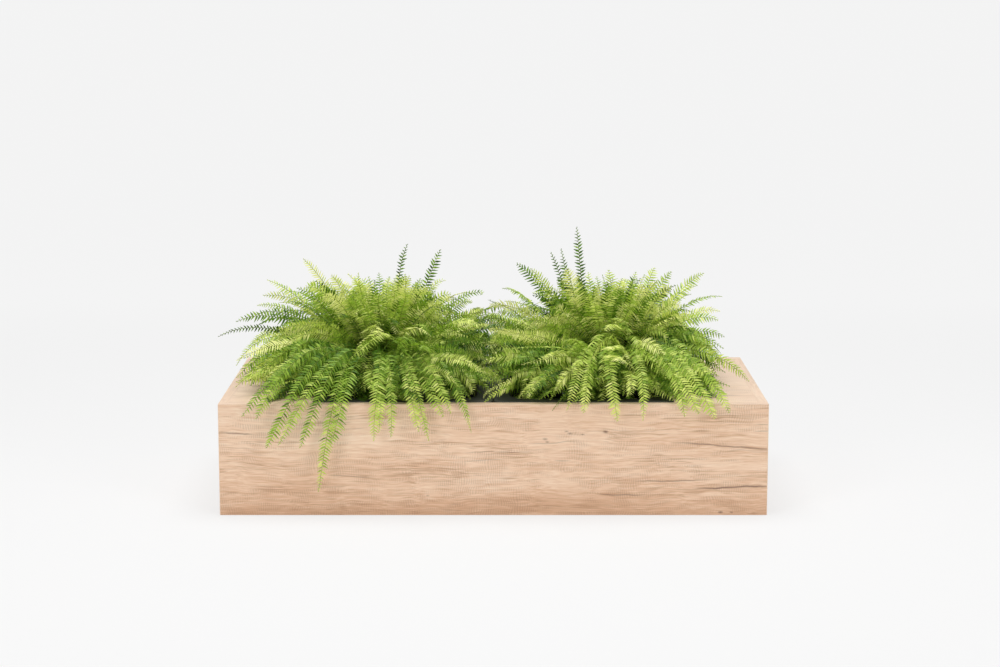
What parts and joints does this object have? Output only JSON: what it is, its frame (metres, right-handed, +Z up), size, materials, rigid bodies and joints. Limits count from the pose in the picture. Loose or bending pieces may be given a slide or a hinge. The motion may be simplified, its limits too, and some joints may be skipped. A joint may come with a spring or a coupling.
{
  "type": "floor planter box",
  "caption": "Long low planter box in oak-decor board, open in the middle over lift-out black plastic liners that each hold a potted fern arching over the edge.",
  "frame": {"origin": "centre of the box's underside, on the floor", "axes": "+X to the right seen from the front, +Y to the back (the wall), +Z up; the front panel faces -Y"},
  "size_m": [1.0278, 0.5364, 0.501],
  "materials": {
    "oak_decor_board": "pale oak melamine-faced chipboard, matt, with fine horizontal grain, saw marks and small cracks in the decor",
    "oak_edge_band": "matching pale oak plastic edge band, matt",
    "plain_batten": "planed softwood batten, unfinished",
    "beech_dowel": "fluted beech dowel, glued",
    "zinc_screw": "zinc-plated steel",
    "liner_plastic": "black moulded plastic, satin with fine grain",
    "pot_plastic": "thin black nursery-pot plastic",
    "compost": "dark peaty potting compost",
    "fern_foliage": "fresh green fern fronds with toothed leaflets, satin, lighter at the young tips"
  },
  "bodies": {
    "carcass": {"back_panel": "oak_decor_board", "back_panel_left_band": "oak_edge_band", "back_panel_right_band": "oak_edge_band", "back_panel_top_band": "oak_edge_band", "back_rail": "plain_batten", "base_dowel_back_left": "beech_dowel", "base_dowel_back_middle": "beech_dowel", "base_dowel_back_right": "beech_dowel", "base_dowel_front_left": "beech_dowel", "base_dowel_front_middle": "beech_dowel", "base_dowel_front_right": "beech_dowel", "base_dowel_left_end": "beech_dowel", "base_dowel_right_end": "beech_dowel", "base_panel": "oak_decor_board", "corner_dowel_back_left_lower": "beech_dowel", "corner_dowel_back_left_upper": "beech_dowel", "corner_dowel_back_right_lower": "beech_dowel", "corner_dowel_back_right_upper": "beech_dowel", "corner_dowel_front_left_lower": "beech_dowel", "corner_dowel_front_left_upper": "beech_dowel", "corner_dowel_front_right_lower": "beech_dowel", "corner_dowel_front_right_upper": "beech_dowel", "front_panel": "oak_decor_board", "front_panel_left_band": "oak_edge_band", "front_panel_right_band": "oak_edge_band", "front_panel_top_band": "oak_edge_band", "front_rail": "plain_batten", "left_end_panel": "oak_decor_board", "left_end_panel_top_band": "oak_edge_band", "left_partition": "oak_decor_board", "left_top_board": "oak_decor_board", "left_top_board_band": "oak_edge_band", "partition_dowel_left_back": "beech_dowel", "partition_dowel_left_foot": "beech_dowel", "partition_dowel_left_front": "beech_dowel", "partition_dowel_right_back": "beech_dowel", "partition_dowel_right_foot": "beech_dowel", "partition_dowel_right_front": "beech_dowel", "rail_screw_back_left": "zinc_screw", "rail_screw_back_right": "zinc_screw", "rail_screw_front_left": "zinc_screw", "rail_screw_front_right": "zinc_screw", "right_end_panel": "oak_decor_board", "right_end_panel_top_band": "oak_edge_band", "right_partition": "oak_decor_board", "right_top_board": "oak_decor_board", "right_top_board_band": "oak_edge_band", "top_board_dowel_left_back": "beech_dowel", "top_board_dowel_left_front": "beech_dowel", "top_board_dowel_right_back": "beech_dowel", "top_board_dowel_right_front": "beech_dowel"},
    "left_liner": {"left_liner": "liner_plastic"},
    "right_liner": {"right_liner": "liner_plastic"},
    "left_plant": {"left_pot": "pot_plastic", "left_compost": "compost", "left_fern": "fern_foliage"},
    "right_plant": {"right_pot": "pot_plastic", "right_compost": "compost", "right_fern": "fern_foliage"}
  },
  "joints": [
    {"name": "left_liner_lift", "type": "slide", "parent": "carcass", "child": "left_liner", "axis": [0, 0, 1], "range_m": [0, 0.2]},
    {"name": "right_liner_lift", "type": "slide", "parent": "carcass", "child": "right_liner", "axis": [0, 0, 1], "range_m": [0, 0.2]},
    {"name": "left_plant_lift", "type": "slide", "parent": "left_liner", "child": "left_plant", "axis": [0, 0, 1], "range_m": [0, 0.2]},
    {"name": "right_plant_lift", "type": "slide", "parent": "right_liner", "child": "right_plant", "axis": [0, 0, 1], "range_m": [0, 0.2]}
  ]
}
